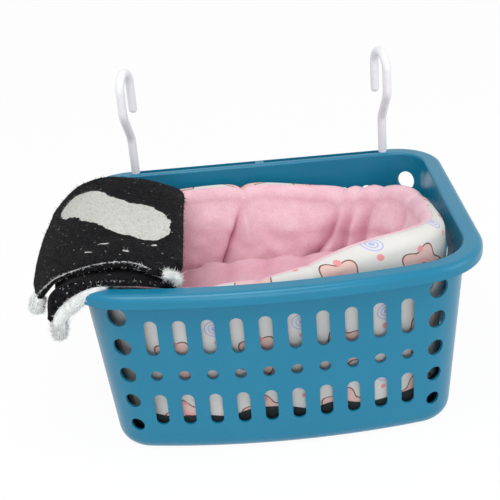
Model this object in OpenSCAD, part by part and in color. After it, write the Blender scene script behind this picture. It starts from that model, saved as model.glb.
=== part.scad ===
// Hanging nest bed for small pets: a slotted plastic basket on two hooks,
// with a padded plush nest inside and a folded blanket laid over one end.
// Millimetres, +Z up, front towards -Y, origin at the middle of the basket's underside.

/* [Basket] */
// Width over the rim
rim_w = 294; // [270:1:330]
// Depth over the rim, from the middle of the bowed front to the back
rim_d = 238; // [220:1:270]
// Height from the underside to the top of the rim
basket_h = 142; // [130:1:170]
// Wall, floor and rim thickness
wall_t = 2; // [1.6:0.1:2.4]
// Lean of the walls, in degrees
wall_draft = 5.1; // [3:0.1:6]
// How far the rim stands out beyond the wall
rim_reach = 11.5; // [11:0.1:14]
// Height of the skirt that turns down from the rim
skirt_h = 9; // [7:0.5:12]
// Radius along the outer top edge of the rim
rim_round = 4.5; // [3:0.1:6]
// Radius where the inside of the wall turns over into the rim
lip_round = 1.8; // [1:0.1:2.5]
// Outer radius of the rim's front corners
front_corner_r = 52; // [46:1:60]
// Outer radius of the rim's back corners
back_corner_r = 38; // [36:1:46]
// Radius of the slightly bowed front
front_bow_r = 600; // [500:10:900]
// Radius where the walls meet the floor
foot_r = 13; // [8:1:14]

/* [Openings in the walls] */
// Spacing of the slot columns
slot_pitch = 19.6; // [18:0.1:20]
// Width of a slot
slot_w = 9.2; // [7:0.1:10]
// Slot columns in the front wall and in the back wall
front_columns = 10; // [8:1:10]
// Slot columns in each side wall
side_columns = 6; // [4:1:6]
// Length of the upper slots
upper_slot_l = 29; // [22:0.5:32]
// Height of the middle of the upper slots
upper_slot_z = 101.5; // [98:0.5:104]
// Diameter of the round holes in the middle row
row_hole_d = 8.4; // [6:0.1:10]
// Height of the middle row
row_hole_z = 69.5; // [67:0.5:72]
// Length of the lower slots
lower_slot_l = 27; // [20:0.5:30]
// Height of the middle of the lower slots
lower_slot_z = 39.5; // [36:0.5:43]
// Round holes in each corner column
corner_holes = 5; // [3:1:5]
// Diameter of the top corner hole
corner_hole_d = 15; // [12:0.5:16]
// How much smaller each corner hole is than the one above it
corner_hole_step = 1.1; // [0.5:0.1:1.5]
// Height of the top corner hole
corner_top_z = 119; // [112:0.5:121]
// Web between one corner hole and the next
corner_web = 10.6; // [8:0.1:11]
// Turn of the front corner columns towards the sides, in degrees
corner_turn = 24; // [18:1:40]
// Turn of the back corner columns towards the sides, in degrees
back_corner_turn = 34; // [28:1:45]
// Slot rows across the floor
floor_rows = 3; // [2:1:3]

/* [Hooks] */
// Thickness of the hook rod
hook_d = 7.2; // [6:0.1:8]
// Distance of each hook from the end of the rim
hook_inset = 43; // [40:1:57]
// Straight shank above the rim
shank_l = 27; // [15:1:40]
// Radius of the crook, at the middle of the rod
crook_r = 13; // [11:0.5:16]
// Straight front leg below the crook
leg_l = 16; // [5:1:30]
// Straight tip behind the crook
tip_l = 21; // [8:1:30]
// Radius of the two bends in the neck of the hook
neck_bend_r = 14; // [9:1:18]
// Angle of the two bends in the neck of the hook
neck_bend = 30; // [22:1:36]
// Turn of the crook about the shank, tips towards each other, in degrees
hook_turn = 14; // [0:1:20]
// Pin that passes through the rim slot
hook_pin_d = 4.6; // [3.5:0.1:5]
// Diameter of the button under the rim
button_d = 8; // [7.4:0.1:8.2]
// Thickness of the button
button_t = 2.6; // [2:0.1:4]
// Bridge between the two rim slots
bridge_w = 7; // [4:0.5:12]
// Running clearance round the hook pin, and above the button
hook_clear = 0.35; // [0.3:0.05:0.5]

/* [Nest] */
// Gap between the nest and the basket wall
nest_gap = 4; // [3:0.5:8]
// Extra room behind the nest
nest_back_gap = 6; // [5:0.5:10]
// Squareness of the nest in plan
nest_square = 4.2; // [3:0.1:5]
// Thickness of the padded wall at its crest
nest_wall = 17; // [12:0.5:22]
// How much thicker the padded wall is at its foot
nest_foot = 7; // [2:0.5:10]
// How far the nest's plain crest lies below the top of the rim
crest_drop = 5; // [4:1:14]
// Rise of the crest at the front right corner
crest_rise = 31; // [10:1:36]
// Dip of the crest at the back right corner
crest_dip = 17; // [5:1:22]
// How far the blanket presses the crest down at the left
crest_press = 6; // [2:0.5:12]
// Depth of the waves along the back of the crest
crest_wave = 4; // [0:0.5:8]
// Height of the padded floor under the cushion
nest_floor_z = 40; // [34:1:46]
// Thickness of the printed cover
cover_t = 1.2; // [0.8:0.1:1.6]
// Thickness of the plush lining
lining_t = 3; // [2:0.1:4]
// Swell of the lining between its folds
lining_puff = 5; // [2:0.5:7]
// Height that the dark base cloth reaches up the sides
base_band_z = 33; // [26:1:36]
// Clearance between soft pieces and what they rest on
soft_clear = 0.3; // [0.2:0.1:0.6]
// Thickness of the loose cushion at its crown
cushion_t = 30; // [20:1:34]
// Height of the cushion's edge seam above its underside
cushion_seam = 11; // [7:0.5:14]
// Gap between the cushion and the foot of the padded wall
cushion_gap = 3; // [2:0.5:8]
// Depth of the cushion's two sewn channels
channel_depth = 3; // [1:0.5:5]
// Half width of a channel
channel_w = 9; // [6:0.5:14]
// Distance between the two channels
channel_span = 58; // [40:1:80]

/* [Blanket] */
// Thickness of one layer of the blanket
blanket_t = 4.8; // [4:0.1:8]
// Slack between the two layers
blanket_slack = 0.8; // [0.6:0.1:4]
// How far the upper layer swells up between the rim and the fold
blanket_loft = 5; // [0:0.5:8]
// How far the blanket's middle lies in front of the nest's middle
blanket_shift = 10; // [0:1:12]
// Length of the blanket along the end of the basket
blanket_l = 164; // [130:1:168]
// Reach of the fold inwards from the rim's outer edge
blanket_reach = 80; // [60:1:90]
// How far the fold sinks below the top at the rim
blanket_droop = 8; // [0:0.5:8.5]
// Radius of the lower layer's bend over the rim, at the middle of the cloth
blanket_bend_r = 14; // [12:0.5:18]
// How far the lower layer hangs below the rim's top
lower_hang = 38; // [25:1:50]
// How far the upper layer hangs below the rim's top
upper_hang = 14; // [6:1:24]
// How far the upper layer is set back at the front
blanket_step = 11; // [0:1:16]
// Height of the blanket's ripples
blanket_ripple = 2.2; // [0:0.1:3]

/* [Hidden] */
$fn = 48;
PLASTIC = "#2480a6";
HOOK_WHITE = "#e6e8ec";
DARK_CLOTH = "#1d2527";
PRINT_WHITE = "#ebeae6";
WADDING = "#f6f4ee";
PLUSH_PINK = "#ebc0cf";
BLANKET_BLACK = "#202022";

half_w = rim_w / 2;
half_d = rim_d / 2;
lean = tan(wall_draft);
through = 5 * rim_reach;

// Places where two stretches of the shell meet are whole microns, so that their ends match
function to_micron(v) = round(v * 1000) / 1000;

// Centres of the rim's corner arcs and of the bowed front
front_cx = half_w - front_corner_r;
back_cx = half_w - back_corner_r;
back_cy = half_d - back_corner_r;
bow_cy = front_bow_r - half_d;
bow_turn = asin(front_cx / (front_bow_r - front_corner_r));
front_cy = to_micron(bow_cy - (front_bow_r - front_corner_r) * cos(bow_turn));
side_cy = (front_cy + back_cy) / 2;

// Offset of the wall's outer face from the rim's outer edge, at height z
function wall_o(z) = -rim_reach - lean * (basket_h - z);

// The foot's radius, where the back corners leave room for it
foot_round = min(foot_r, (back_corner_r + wall_o(0) - wall_t) / (1 / cos(wall_draft) - lean));

// Points of a round stretch about c, from angle a0 to a1
function arc(c, r, a0, a1, n) =
    [for (i = [0:n]) let (a = a0 + (a1 - a0) * i / n) c + r * [cos(a), sin(a)]];

// Section of the shell: offset from the rim's outer edge across, height up.
// The floor runs inwards to -reach.
module shell_section(reach) {
    skirt_z = basket_h - skirt_h;
    under_z = basket_h - wall_t;
    foot_in = foot_round - wall_t;
    // The foot arcs touch the leaning wall, so they stop short of a quarter turn
    turn = 90 - wall_draft;
    foot_c = [wall_o(0) + foot_round * (lean - 1 / cos(wall_draft)), foot_round];
    lip_c = [wall_o(basket_h) - wall_t / cos(wall_draft) - lip_round * lean + lip_round / cos(wall_draft),
             basket_h - lip_round];
    polygon(concat(
        [[-reach, 0]],
        arc(foot_c, foot_round, -90, turn - 90, 6),
        [[wall_o(under_z), under_z],
         [-wall_t, under_z],
         [-wall_t, skirt_z],
         [0, skirt_z]],
        arc([-rim_round, basket_h - rim_round], rim_round, 0, 90, 6),
        arc(lip_c, lip_round, 90, 180 - wall_draft, 4),
        arc(foot_c, foot_in, turn - 90, -90, 6),
        [[-reach, wall_t]]));
}

// The shell section turned round one corner of outer radius r. It stops just short of the axis,
// where the middle of the floor laps over it.
floor_lap = wall_t / 2;
module shell_corner(r, angle) {
    rotate_extrude(angle = angle) translate([r, 0]) shell_section(r - floor_lap / 2);
}

// The shell section along a straight length, outwards to +X
module shell_straight(length) {
    translate([0, length, 0]) rotate([90, 0, 0]) linear_extrude(length) shell_section(back_corner_r);
}

module shell() {
    for (s = [0, 1]) mirror([s, 0, 0]) {
        translate([front_cx, front_cy, 0]) mirror([0, 1, 0]) shell_corner(front_corner_r, 90 - bow_turn);
        translate([back_cx, back_cy, 0]) shell_corner(back_corner_r, 90);
        translate([half_w, front_cy, 0]) shell_straight(back_cy - front_cy);
        translate([0, bow_cy, 0]) rotate(-90)
            rotate_extrude(angle = bow_turn) translate([front_bow_r, 0]) shell_section(front_corner_r);
    }
    translate([back_cx, half_d, 0]) rotate(90) shell_straight(2 * back_cx);
    // Middle of the floor, lapped into the flat edge of the sections round it
    bow_y = front_corner_r - half_d;
    translate([-back_cx - floor_lap, front_cy, 0])
        cube([2 * (back_cx + floor_lap), back_cy - front_cy + floor_lap, wall_t]);
    translate([-front_cx - floor_lap, bow_y - floor_lap, 0])
        cube([2 * (front_cx + floor_lap), front_cy - bow_y + 2 * floor_lap, wall_t]);
}

// A slot with round ends that runs through a wall along +Y; its middle is at the origin
module slot(w, l) {
    rotate([90, 0, 0]) linear_extrude(through, center = true) {
        square([w, l - w], center = true);
        for (s = [-1, 1]) translate([0, s * (l - w) / 2]) circle(d = w);
    }
}

// A row of columns: upper slot, round hole, lower slot
module slot_columns(count) {
    for (i = [0:count - 1]) translate([(i - (count - 1) / 2) * slot_pitch, 0, 0]) {
        translate([0, 0, upper_slot_z]) slot(slot_w, upper_slot_l);
        translate([0, 0, row_hole_z]) rotate([90, 0, 0]) cylinder(d = row_hole_d, h = through, center = true);
        translate([0, 0, lower_slot_z]) slot(slot_w, lower_slot_l);
    }
}

// A column of round holes that shrink downwards with an even web between them, bored along +Y
module corner_column() {
    for (i = [0:corner_holes - 1]) {
        drop = i * (corner_web + corner_hole_d - i * corner_hole_step / 2);
        translate([0, 0, corner_top_z - drop]) rotate([90, 0, 0])
            cylinder(d = corner_hole_d - i * corner_hole_step, h = through, center = true);
    }
}

module wall_openings() {
    wall_y = half_d - rim_reach;
    translate([0, -wall_y, 0]) slot_columns(front_columns);
    translate([0, wall_y, 0]) slot_columns(front_columns);
    for (s = [-1, 1]) {
        translate([s * (half_w - rim_reach), side_cy, 0]) rotate(90) slot_columns(side_columns);
        translate([s * front_cx, front_cy, 0]) rotate(s * corner_turn)
            translate([0, rim_reach - front_corner_r, 0]) corner_column();
        translate([s * back_cx, back_cy, 0]) rotate(-s * back_corner_turn)
            translate([0, back_corner_r - rim_reach, 0]) corner_column();
    }
}

module floor_openings() {
    row_gap = slot_w;
    for (i = [0:front_columns - 1], k = [0:floor_rows - 1])
        translate([(i - (front_columns - 1) / 2) * slot_pitch,
                   side_cy + (k - (floor_rows - 1) / 2) * (lower_slot_l + row_gap), 0])
            rotate([90, 0, 0]) slot(slot_w, lower_slot_l);
}

// Rim slots for the hooks, in the middle of the gutter between wall and skirt
gutter_y = half_d - (rim_reach + wall_t) / 2;
hook_span = rim_w - 2 * hook_inset;
rim_slot_w = hook_pin_d + 2 * hook_clear;

module hook_slots() {
    for (s = [-1, 1]) {
        translate([s > 0 ? bridge_w / 2 : -hook_span / 2, gutter_y - rim_slot_w / 2, basket_h - through / 2])
            cube([hook_span / 2 - bridge_w / 2, rim_slot_w, through]);
        translate([s * hook_span / 2, gutter_y, basket_h - through / 2])
            cylinder(d = rim_slot_w, h = through);
    }
}

module basket() {
    color(PLASTIC) difference() {
        shell();
        wall_openings();
        floor_openings();
        hook_slots();
    }
}

// A straight piece of rod along +Z, with what follows at its end.
// It is a hair thinner than the bends and runs a little way into them.
weld_lap = 0.5;
weld_step = 0.1;
module rod(l) {
    translate([0, 0, -weld_lap]) cylinder(d = hook_d - weld_step, h = l + 2 * weld_lap);
    translate([0, 0, l]) children();
}

// A bend of the rod from +Z towards +X (side = 1) or -X (side = -1), with what follows at its end
module bend(r, angle, side) {
    mirror([side > 0 ? 1 : 0, 0, 0]) translate([-r, 0, 0]) rotate([90, 0, 0])
        rotate_extrude(angle = angle) translate([r, 0]) circle(d = hook_d);
    translate([side * r * (1 - cos(angle)), 0, r * sin(angle)]) rotate([0, side * angle, 0]) children();
}

// One hook, crook towards +X, standing on the rim at z = 0
module hook() {
    jog_l = (crook_r - 2 * neck_bend_r * (1 - cos(neck_bend))) / sin(neck_bend);
    button_z = -wall_t - hook_clear - button_t;
    translate([0, 0, weld_lap]) rod(shank_l - weld_lap)
        bend(neck_bend_r, neck_bend, -1) rod(jog_l) bend(neck_bend_r, neck_bend, 1)
        rod(leg_l) bend(crook_r, 180, 1) rod(tip_l) sphere(d = hook_d);
    translate([0, 0, button_z]) cylinder(d = hook_pin_d, h = -button_z);
    translate([0, 0, button_z]) cylinder(d = button_d, h = button_t);
}

module placed_hook(side) {
    color(HOOK_WHITE) translate([side * hook_span / 2, gutter_y, basket_h])
        rotate(90 + side * hook_turn) hook();
}

module hook_left() { placed_hook(-1); }
module hook_right() { placed_hook(1); }

// Nest: every soft piece is a stack of rings round the same plan outline.
// A ring point is [inset from the outer face, height].
nest_steps = 42;
nest_z = wall_t + soft_clear;
nest_h = basket_h - crest_drop;
crest_r = nest_wall / 2;
nest_a = half_w + wall_o(0) - wall_t - nest_gap;
nest_front = half_d + wall_o(0) - wall_t - nest_gap;
nest_back = nest_front - nest_back_gap;
nest_b = (nest_front + nest_back) / 2;
nest_cy = (nest_back - nest_front) / 2;
nest_foot_r = foot_round + nest_gap;

// Distance between two directions, in degrees
function off_angle(t, c) = abs((t - c + 540) % 360 - 180);
function bump(t, c, w) = exp(-pow(off_angle(t, c) / w, 2));

// Crest height in direction t: high at the front right, low at the back right, wavy along the back.
// Each swell has a direction and a spread, in degrees.
front_right = 322;
rise_spread = 34;
back_right = 52;
dip_spread = 30;
left = 180;
press_spread = 75;
back = 90;
wave_spread = 40;
waves = 9;
function wave(t) = crest_wave * bump(t, back, wave_spread) * (1 + cos(waves * t)) / 2;
function crest(t) = nest_h + crest_rise * bump(t, front_right, rise_spread)
    - crest_dip * bump(t, back_right, dip_spread) - crest_press * bump(t, left, press_spread) - wave(t);

// Folds of the lining: directions of the deep creases
CREASES = [20, 62, 84, 112, 150, 205, 250, 290];
crease_w = 8;
function crease(t) = max([for (c = CREASES) bump(t, c, crease_w)]);

// Plan point in direction t, set in by d, at height z
function nest_point(t, d, z) =
    let (a = nest_a + lean * z - d,
         b = nest_b + lean * z - d,
         r = pow(pow(abs(cos(t)) / a, nest_square) + pow(abs(sin(t)) / b, nest_square), -1 / nest_square))
    [r * cos(t), nest_cy + r * sin(t), z];

// Outer face: rounded foot, from inset d0 at the nest's underside
function foot_path(skin, n) = [for (i = [0:n]) let (a = 90 * i / n)
    [nest_foot_r - (nest_foot_r - skin) * sin(a), nest_z + nest_foot_r - (nest_foot_r - skin) * cos(a)]];
// Outer half of the crest, skin deep, from the outer face to just short of the top, where the lining starts
function crest_out(t, skin, n) = [for (i = [0:n]) let (a = acos(soft_clear / (crest_r - skin)) * i / n)
    [crest_r - (crest_r - skin) * cos(a), crest(t) - crest_r + (crest_r - skin) * sin(a)]];
// Inner face, skin deep, from the top of the crest down to the padded floor
function inner_path(t, skin, floor_z, n) = concat(
    [for (i = [0:2]) let (a = 90 - 45 * i)
        [crest_r + (crest_r - skin) * cos(a), crest(t) - crest_r + (crest_r - skin) * sin(a)]],
    [for (i = [1:n]) let (v = i / n)
        [nest_wall - skin + nest_foot * v * v + lining_puff * sin(180 * v) * (1 - crease(t)),
         crest(t) - crest_r + (floor_z - crest(t) + crest_r) * v]]);

// Triangles between ring k and ring k2, and fans to a pole. A band whose rings run backwards
// is turned, so that its diagonals lie as they do on the skin that it faces.
function band(k, k2, n, turned) = [for (j = [0:n - 1]) let (j2 = (j + 1) % n)
    each turned
        ? [[k * n + j, k2 * n + j, k * n + j2], [k2 * n + j, k2 * n + j2, k * n + j2]]
        : [[k * n + j, k2 * n + j, k2 * n + j2], [k * n + j, k2 * n + j2, k * n + j2]]];
function fan(k, pole, n, up) = [for (j = [0:n - 1]) let (j2 = (j + 1) % n)
    up ? [k * n + j, pole, k * n + j2] : [k * n + j, k * n + j2, pole]];

function directions() = [for (j = [0:nest_steps - 1]) 360 * j / nest_steps];
// paths holds one list of ring points for each direction
function ring_points(paths) = [for (k = [0:len(paths[0]) - 1], j = [0:nest_steps - 1])
    nest_point(directions()[j], paths[j][k][0], paths[j][k][1])];

// Closed form whose rings start and end at a pole on the middle line.
// Rings from first_back to last_back run backwards.
module capped_form(paths, low_z, high_z, first_back = -1, last_back = -1) {
    rings = len(paths[0]);
    poles = rings * nest_steps;
    polyhedron(
        points = concat(ring_points(paths), [[0, nest_cy, low_z], [0, nest_cy, high_z]]),
        faces = concat([for (k = [0:rings - 2])
                            each band(k, k + 1, nest_steps, k >= first_back && k < last_back)],
                       fan(0, poles, nest_steps, false), fan(rings - 1, poles + 1, nest_steps, true)));
}

// Closed band whose last ring joins its first and whose second half runs backwards
module band_form(paths) {
    rings = len(paths[0]);
    polyhedron(
        points = ring_points(paths),
        faces = [for (k = [0:rings - 1]) each band(k, (k + 1) % rings, nest_steps, k >= rings / 2)]);
}

function reversed(list) = [for (i = [len(list) - 1:-1:0]) list[i]];

module nest_base_cloth() {
    paths = [for (t = directions()) concat(
        foot_path(0, 4), [[0, base_band_z], [cover_t, base_band_z]], reversed(foot_path(cover_t, 4)))];
    rings = len(paths[0]);
    color(DARK_CLOTH) capped_form(paths, nest_z, nest_z + cover_t, rings / 2, rings);
}

// Straight part of the outer face from the base cloth up to the crest
function side_path(t, skin, n) = [for (i = [0:n - 1])
    [skin, base_band_z + (crest(t) - crest_r - base_band_z) * i / n]];

module nest_cover() {
    paths = [for (t = directions()) concat(
        side_path(t, 0, 4), crest_out(t, 0, 3),
        reversed(crest_out(t, cover_t, 3)), reversed(side_path(t, cover_t, 4)))];
    color(PRINT_WHITE) band_form(paths);
}

// The wadding lies just inside the cover
wadding_skin = cover_t + soft_clear;
module nest_wadding() {
    paths = [for (t = directions()) concat(
        foot_path(wadding_skin, 4), side_path(t, wadding_skin, 4), crest_out(t, wadding_skin, 3),
        inner_path(t, lining_t + soft_clear, nest_floor_z - soft_clear, 6))];
    color(WADDING) capped_form(paths, nest_z + wadding_skin, nest_floor_z - soft_clear);
}

module nest_lining() {
    paths = [for (t = directions()) concat(
        reversed(inner_path(t, lining_t, nest_floor_z, 6)), inner_path(t, 0, nest_floor_z + lining_t, 6))];
    color(PLUSH_PINK) capped_form(paths, nest_floor_z, nest_floor_z + lining_t, 0, len(paths[0]) / 2);
}

// Loose cushion: drawn-in sides, a crowned top and two sewn channels across it
cushion_z = nest_floor_z + lining_t + soft_clear;
function channel(x) = channel_depth
    * max([for (c = [-1, 1]) exp(-pow((x - c * channel_span / 2) / channel_w, 2))]);
module nest_cushion() {
    inset = nest_wall + nest_foot + cushion_gap;
    levels = 5;
    paths = [for (t = directions()) concat(
        [for (i = [0:2]) let (a = 45 * i)
            [inset + cushion_seam * (1 - sin(a)), cushion_z + cushion_seam * (1 - cos(a))]],
        [for (i = [1:levels]) let (v = i / (levels + 1), d = inset + v * (nest_b - inset))
            [d, cushion_z + cushion_seam + (cushion_t - cushion_seam) * sqrt(1 - pow(1 - v, 2))
                - channel(nest_point(t, d, cushion_z)[0]) * v]])];
    color(PLUSH_PINK) capped_form(paths, cushion_z, cushion_z + cushion_t);
}

// Blanket: one strip of cloth folded double, its fold towards the nest and both ends over the left rim.
// A strip point is [x, z, heading, share of the way], from the lower end round the fold to the upper end.
layer_pitch = blanket_t + blanket_slack;
rest_z = basket_h + soft_clear + blanket_t / 2;
turn_c = [rim_round - half_w, rest_z - blanket_bend_r];
hang_x = turn_c[0] - blanket_bend_r;
fold_x = blanket_reach - half_w;
blanket_rows = 12;
flat_steps = 6;

// Round stretch about c that turns left (side = 1) or right (side = -1)
function turn_strip(c, r, a0, a1, side, n) =
    [for (i = [0:n]) let (a = a0 + (a1 - a0) * i / n) [c[0] + r * cos(a), c[1] + r * sin(a), a + side * 90]];
// Level stretch between x0 and x1, without its ends
function level_strip(x0, x1, z, heading) =
    [for (i = [1:flat_steps - 1]) [x0 + (x1 - x0) * i / flat_steps, z, heading]];

STRIP = concat(
    [[hang_x, basket_h - lower_hang, 90]],
    turn_strip(turn_c, blanket_bend_r, 180, 90, -1, 4),
    level_strip(turn_c[0], fold_x, rest_z, 0),
    turn_strip([fold_x, rest_z + layer_pitch / 2], layer_pitch / 2, -90, 90, 1, 6),
    level_strip(fold_x, turn_c[0], rest_z + layer_pitch, 180),
    turn_strip(turn_c, blanket_bend_r + layer_pitch, 90, 180, 1, 4),
    [[hang_x - layer_pitch, basket_h - upper_hang, 270]]);

// How far the cloth sags where it bridges the nest, how far its upper layer swells up there,
// and how far it ripples away from the rim
function bridge_share(x) = max(0, x - turn_c[0]) / (fold_x - turn_c[0]);
function sag(x) = blanket_droop * pow(bridge_share(x), 4);
function swell(x) = blanket_loft * sin(180 * min(1, bridge_share(x)));
function ripple(y) = blanket_ripple * (1 + sin(360 * 3 * y / blanket_l)) / 2;

// Point i of the strip in row r, set off sideways to the right of its heading
function blanket_point(i, r, offset) =
    let (p = STRIP[i],
         share = i / (len(STRIP) - 1),
         front = -blanket_l / 2 + blanket_step * share,
         y = front + (blanket_l / 2 - front) * r / (blanket_rows - 1),
         hang = max(0, rest_z - p[1]) / lower_hang,
         rise = p[2] < 180 ? 0 : swell(p[0]))
    [p[0] + offset * sin(p[2]) - ripple(y) * hang,
     nest_cy - blanket_shift + y,
     p[1] - offset * cos(p[2]) - sag(p[0]) + rise + ripple(y) * share];

module blanket() {
    n = len(STRIP);
    inner = n * blanket_rows;
    function o(i, r) = r * n + i;
    function u(i, r) = inner + r * n + i;
    last = blanket_rows - 1;
    color(BLANKET_BLACK) polyhedron(
        points = [for (side = [1, -1], r = [0:last], i = [0:n - 1])
            blanket_point(i, r, side * blanket_t / 2)],
        faces = concat(
            [for (i = [0:n - 2], r = [0:last - 1]) each [
                [o(i, r), o(i + 1, r + 1), o(i, r + 1)], [o(i, r), o(i + 1, r), o(i + 1, r + 1)],
                [u(i, r), u(i, r + 1), u(i + 1, r + 1)], [u(i, r), u(i + 1, r + 1), u(i + 1, r)]]],
            [for (i = [0:n - 2]) each [
                [u(i, 0), o(i + 1, 0), o(i, 0)], [u(i, 0), u(i + 1, 0), o(i + 1, 0)],
                [u(i, last), o(i, last), o(i + 1, last)], [u(i, last), o(i + 1, last), u(i + 1, last)]]],
            [for (r = [0:last - 1]) each [
                [u(0, r), o(0, r + 1), u(0, r + 1)], [u(0, r), o(0, r), o(0, r + 1)],
                [u(n - 1, r), u(n - 1, r + 1), o(n - 1, r + 1)],
                [u(n - 1, r), o(n - 1, r + 1), o(n - 1, r)]]]));
}

basket();
hook_left();
hook_right();
nest_base_cloth();
nest_cover();
nest_wadding();
nest_lining();
nest_cushion();
blanket();
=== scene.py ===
# %% [markdown]
# # A hanging nest bed for small pets
# The object is a slotted plastic basket on two white hooks. A padded plush nest sits in it,
# with a loose cushion for a floor, and a folded black and white blanket lies over its left end.
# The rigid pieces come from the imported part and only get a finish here. The soft pieces are
# surfaces worked out with numpy, so that each one has folds, seams and pile that a plain solid lacks.

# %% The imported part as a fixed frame
import math

import bmesh
import bpy
import numpy as np
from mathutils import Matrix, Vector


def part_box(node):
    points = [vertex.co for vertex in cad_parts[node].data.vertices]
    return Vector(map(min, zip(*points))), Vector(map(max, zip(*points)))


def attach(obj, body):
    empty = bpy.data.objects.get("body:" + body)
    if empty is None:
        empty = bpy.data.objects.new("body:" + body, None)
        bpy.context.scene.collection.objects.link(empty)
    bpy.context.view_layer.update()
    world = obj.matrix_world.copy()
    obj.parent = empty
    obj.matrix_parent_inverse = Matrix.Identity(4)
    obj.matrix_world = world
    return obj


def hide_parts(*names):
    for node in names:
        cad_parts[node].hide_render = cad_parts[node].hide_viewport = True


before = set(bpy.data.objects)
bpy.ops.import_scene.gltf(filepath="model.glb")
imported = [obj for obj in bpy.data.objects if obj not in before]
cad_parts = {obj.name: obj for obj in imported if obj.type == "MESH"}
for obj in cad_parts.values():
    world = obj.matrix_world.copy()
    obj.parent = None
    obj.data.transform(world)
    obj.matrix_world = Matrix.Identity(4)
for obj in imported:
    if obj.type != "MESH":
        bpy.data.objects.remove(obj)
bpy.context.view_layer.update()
MM = 0.001


def put_in_scene(name, data):
    """A new object at the origin that holds that mesh, camera or lamp."""
    thing = bpy.data.objects.new(name, data)
    bpy.context.scene.collection.objects.link(thing)
    return thing


# %% [markdown]
# ## Camera
# The picture was taken from the front and well above the rim, with the camera rolled a little,
# which makes the basket hang askew. A camera aimed by eye would never quite line up, so its place
# and its three angles were found by fitting the slot grid, the corner holes and the hooks of the
# part to the picture.

# %% Camera
PICTURE_PX = 500
FOCAL_PX = 1100
SENSOR_MM = 36
CAMERA_PITCH, CAMERA_ROLL, CAMERA_YAW = 0.4520, -0.0851, -0.0083
CAMERA_EYE = MM * np.array([-21.3, -751.0, 479.9])


def camera_rows(pitch, roll, yaw):
    """Right, down and forward of the camera: look along +Y, turn by yaw about Z, tip by pitch, roll."""
    cos, sin = math.cos, math.sin
    ahead = np.array([[1, 0, 0], [0, 0, -1], [0, 1, 0]])
    turn = np.array([[cos(yaw), sin(yaw), 0], [-sin(yaw), cos(yaw), 0], [0, 0, 1]])
    tip = np.array([[1, 0, 0], [0, cos(pitch), -sin(pitch)], [0, sin(pitch), cos(pitch)]])
    bank = np.array([[cos(roll), -sin(roll), 0], [sin(roll), cos(roll), 0], [0, 0, 1]])
    return bank @ tip @ ahead @ turn


right, down, forward = camera_rows(CAMERA_PITCH, CAMERA_ROLL, CAMERA_YAW)
placed = np.eye(4)
placed[:3, :3] = np.stack([right, -down, -forward], axis=1)
placed[:3, 3] = CAMERA_EYE
camera = put_in_scene("camera", bpy.data.cameras.new("camera"))
camera.matrix_world = placed.T.tolist()
camera.data.sensor_width = SENSOR_MM
camera.data.lens = FOCAL_PX / PICTURE_PX * SENSOR_MM
bpy.context.scene.camera = camera
print("lens in mm:", round(camera.data.lens, 1))

# %% [markdown]
# ## Helpers for finishes
# A finish is a node tree. It could be drawn in the shader editor, but a script can be read and run
# again. One function adds a node, sets its fields and links its sockets, and one turns the sRGB
# colours that a picture shows into the linear ones that a shader works in.


# %% Colour and nodes
def linear(hex_colour):
    """sRGB to linear light: the low end is divided by 12.92, the rest follows a power of 2.4."""
    c = np.array([int(hex_colour[i:i + 2], 16) for i in (1, 3, 5)]) / 255
    return (*np.where(c <= 0.04045, c / 12.92, ((c + 0.055) / 1.055) ** 2.4).tolist(), 1.0)


def add(tree, kind, inputs=None, **settings):
    """Adds one shader node; inputs holds values or other nodes' outputs by socket name or number."""
    node = tree.nodes.new("ShaderNode" + kind)
    for key, value in settings.items():
        setattr(node, key, value)
    for key, value in (inputs or {}).items():
        if isinstance(value, bpy.types.NodeSocket):
            tree.links.new(value, node.inputs[key])
        else:
            node.inputs[key].default_value = value
    return node


def finish_named(name):
    """A new material and its node tree, emptied."""
    material = bpy.data.materials.new(name)
    material.use_nodes = True
    material.node_tree.nodes.clear()
    return material, material.node_tree


def close_finish(tree, colour, bump, **sockets):
    """Ends a tree in a Principled shader with that colour and bump, other sockets fixed or linked."""
    named = {key.replace("_", " ").title().replace("Ior", "IOR"): value for key, value in sockets.items()}
    shader = add(tree, "BsdfPrincipled", {"Base Color": colour, "Normal": bump, **named})
    add(tree, "OutputMaterial", {"Surface": shader.outputs["BSDF"]})


def per_metre(size_mm):
    """Scale of a texture whose features are that many millimetres apart."""
    return 1 / (size_mm * MM)


def wave_scale(size_mm):
    """Scale of a wave texture whose bands are so far apart: its sine turns by 20 for each unit."""
    return 2 * math.pi / 20 * per_metre(size_mm)


def blend_colour(tree, share, first, second):
    """One colour at share 0 and the other at share 1."""
    return add(tree, "Mix", {0: share, 6: first, 7: second}, data_type="RGBA").outputs[2]


def scale_colour(tree, colour, factor):
    """A colour made brighter or darker."""
    return add(tree, "VectorMath", {0: colour, "Scale": factor}, operation="SCALE").outputs[0]


def calc(tree, operation, a, b=0.0, c=0.0):
    """One Math node."""
    return add(tree, "Math", {0: a, 1: b, 2: c}, operation=operation).outputs[0]


# %% [markdown]
# ## Moulded plastics
# The basket is injection-moulded polypropylene: a satin teal with a soft, slightly mottled gloss.
# The hooks are the same kind of plastic in white. One flat colour and one roughness would look
# drawn, so faint clouds shift both, and a fine grain from the mould breaks up the highlights.
# The shapes stay the part's own solids, because they have to fit.

# %% Basket and hook plastic
PLASTIC_IOR, PLASTIC_SHINE = 1.49, 0.36
CLOUDS_MM = 45
GLOSSIER, DULLER = 0.05, 0.07


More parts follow.
